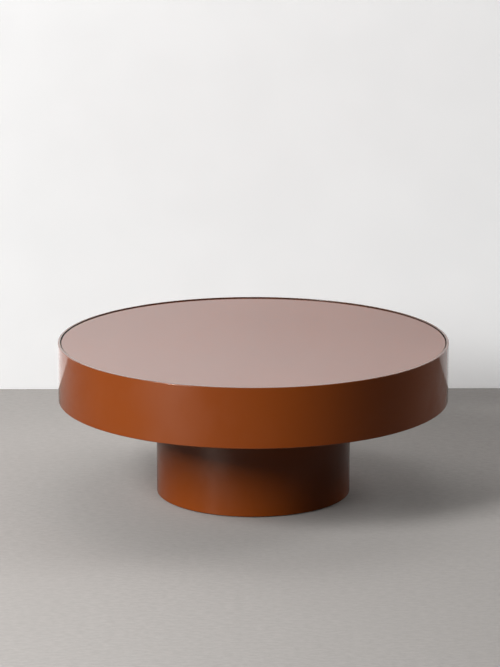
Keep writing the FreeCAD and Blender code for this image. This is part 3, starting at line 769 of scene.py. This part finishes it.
sheet("stage_floor",
      [(-FLOOR_REACH, -FLOOR_REACH, 0), (FLOOR_REACH, -FLOOR_REACH, 0),
       (FLOOR_REACH, FLOOR_REACH, 0), (-FLOOR_REACH, FLOOR_REACH, 0)],
      floor_material())
sheet("stage_wall",
      [(-WALL_REACH, WALL_LEFT, 0), (WALL_REACH, WALL_RIGHT, 0),
       (WALL_REACH, WALL_RIGHT, WALL_HEIGHT), (-WALL_REACH, WALL_LEFT, WALL_HEIGHT)],
      wall_material())

# Light: soft panels, each given by its bearing and height in degrees seen from the table, its
# distance, width, height and power. Bearing 0 is towards the camera and -90 to the left.

AIM = Vector((0.0, 0.0, 0.25))
PANELS = [
    ("key_panel", -49.0, 31.6, 6.0, 2.2, 2.6, 400.0),
    ("top_panel", 180.0, 70.0, 2.9, 2.0, 1.0, 14.0),
    ("fill_panel", 105.0, 39.0, 6.0, 2.4, 2.4, 84.0),
    ("low_panel", -45.0, 3.0, 6.0, 0.6, 1.0, 148.0),
    ("under_panel", 0.0, -89.0, 6.0, 2.0, 2.0, 150.0),
]
# This panel gives a highlight and no other light.
HIGHLIGHT_PANEL = "low_panel"
# This panel, under the floor, lights only what is inside the pedestal.
INSIDE_PANEL = "under_panel"
INSIDE = [
    "pedestal_head_plate", "pedestal_former_ring", "pedestal_base_ring", "leveller_sockets",
    "stile_screws", "bolt_washers", "knurled_bolts",
    *STILES, *PADS, *numbered("threaded_stem", LEVELLER_COUNT),
]

for name, bearing, elevation, distance, width, height, power in PANELS:
    turn, rise = math.radians(bearing), math.radians(elevation)
    way = Vector((math.sin(turn) * math.cos(rise), -math.cos(turn) * math.cos(rise), math.sin(rise)))
    lamp = bpy.data.lights.new(name, "AREA")
    lamp.shape = "RECTANGLE"
    lamp.size = width
    lamp.size_y = height
    lamp.energy = power
    panel = bpy.data.objects.new(name, lamp)
    panel.location = AIM + way * distance
    panel.rotation_euler = (-way).to_track_quat("-Z", "Y").to_euler()
    panel.visible_camera = False
    panel.visible_diffuse = name != HIGHLIGHT_PANEL
    scene.collection.objects.link(panel)

inside = bpy.data.collections.new("inside_pedestal")
for name in INSIDE:
    inside.objects.link(bpy.data.objects[name])
bpy.data.objects[INSIDE_PANEL].light_linking.receiver_collection = inside

# The world: dim as light, a little paler in mirrors and pale to the camera.
WORLD_LIGHT = 0.012
WORLD_MIRRORED = 0.05
WORLD_SEEN = 0.80

world = bpy.data.worlds.new("studio")
scene.world = world
world.use_nodes = True
sky = world.node_tree
background = sky.nodes["Background"]
background.inputs["Color"].default_value = (*WHITE, 1)
rays = sky.nodes.new("ShaderNodeLightPath").outputs
unseen = sky.nodes.new("ShaderNodeMapRange")
unseen.inputs["To Min"].default_value = WORLD_LIGHT
unseen.inputs["To Max"].default_value = WORLD_MIRRORED
sky.links.new(rays["Is Glossy Ray"], unseen.inputs["Value"])
strength = sky.nodes.new("ShaderNodeMapRange")
strength.inputs["To Max"].default_value = WORLD_SEEN
sky.links.new(unseen.outputs[0], strength.inputs["To Min"])
sky.links.new(rays["Is Camera Ray"], strength.inputs["Value"])
sky.links.new(strength.outputs[0], background.inputs["Strength"])

# The camera, at the photograph's angle. Its pitch is in degrees below the level.
LENS = 147.62
SENSOR_WIDTH = 36.0
CAMERA_PLACE = (-0.0086, -6.921, 2.0612)
CAMERA_PITCH = 13.324

lens = bpy.data.cameras.new("camera")
lens.lens = LENS
lens.sensor_width = SENSOR_WIDTH
camera = bpy.data.objects.new("camera", lens)
camera.location = CAMERA_PLACE
camera.rotation_euler = (math.radians(90 - CAMERA_PITCH), 0.0, 0.0)
scene.collection.objects.link(camera)
scene.camera = camera
scene.view_settings.view_transform = "Standard"
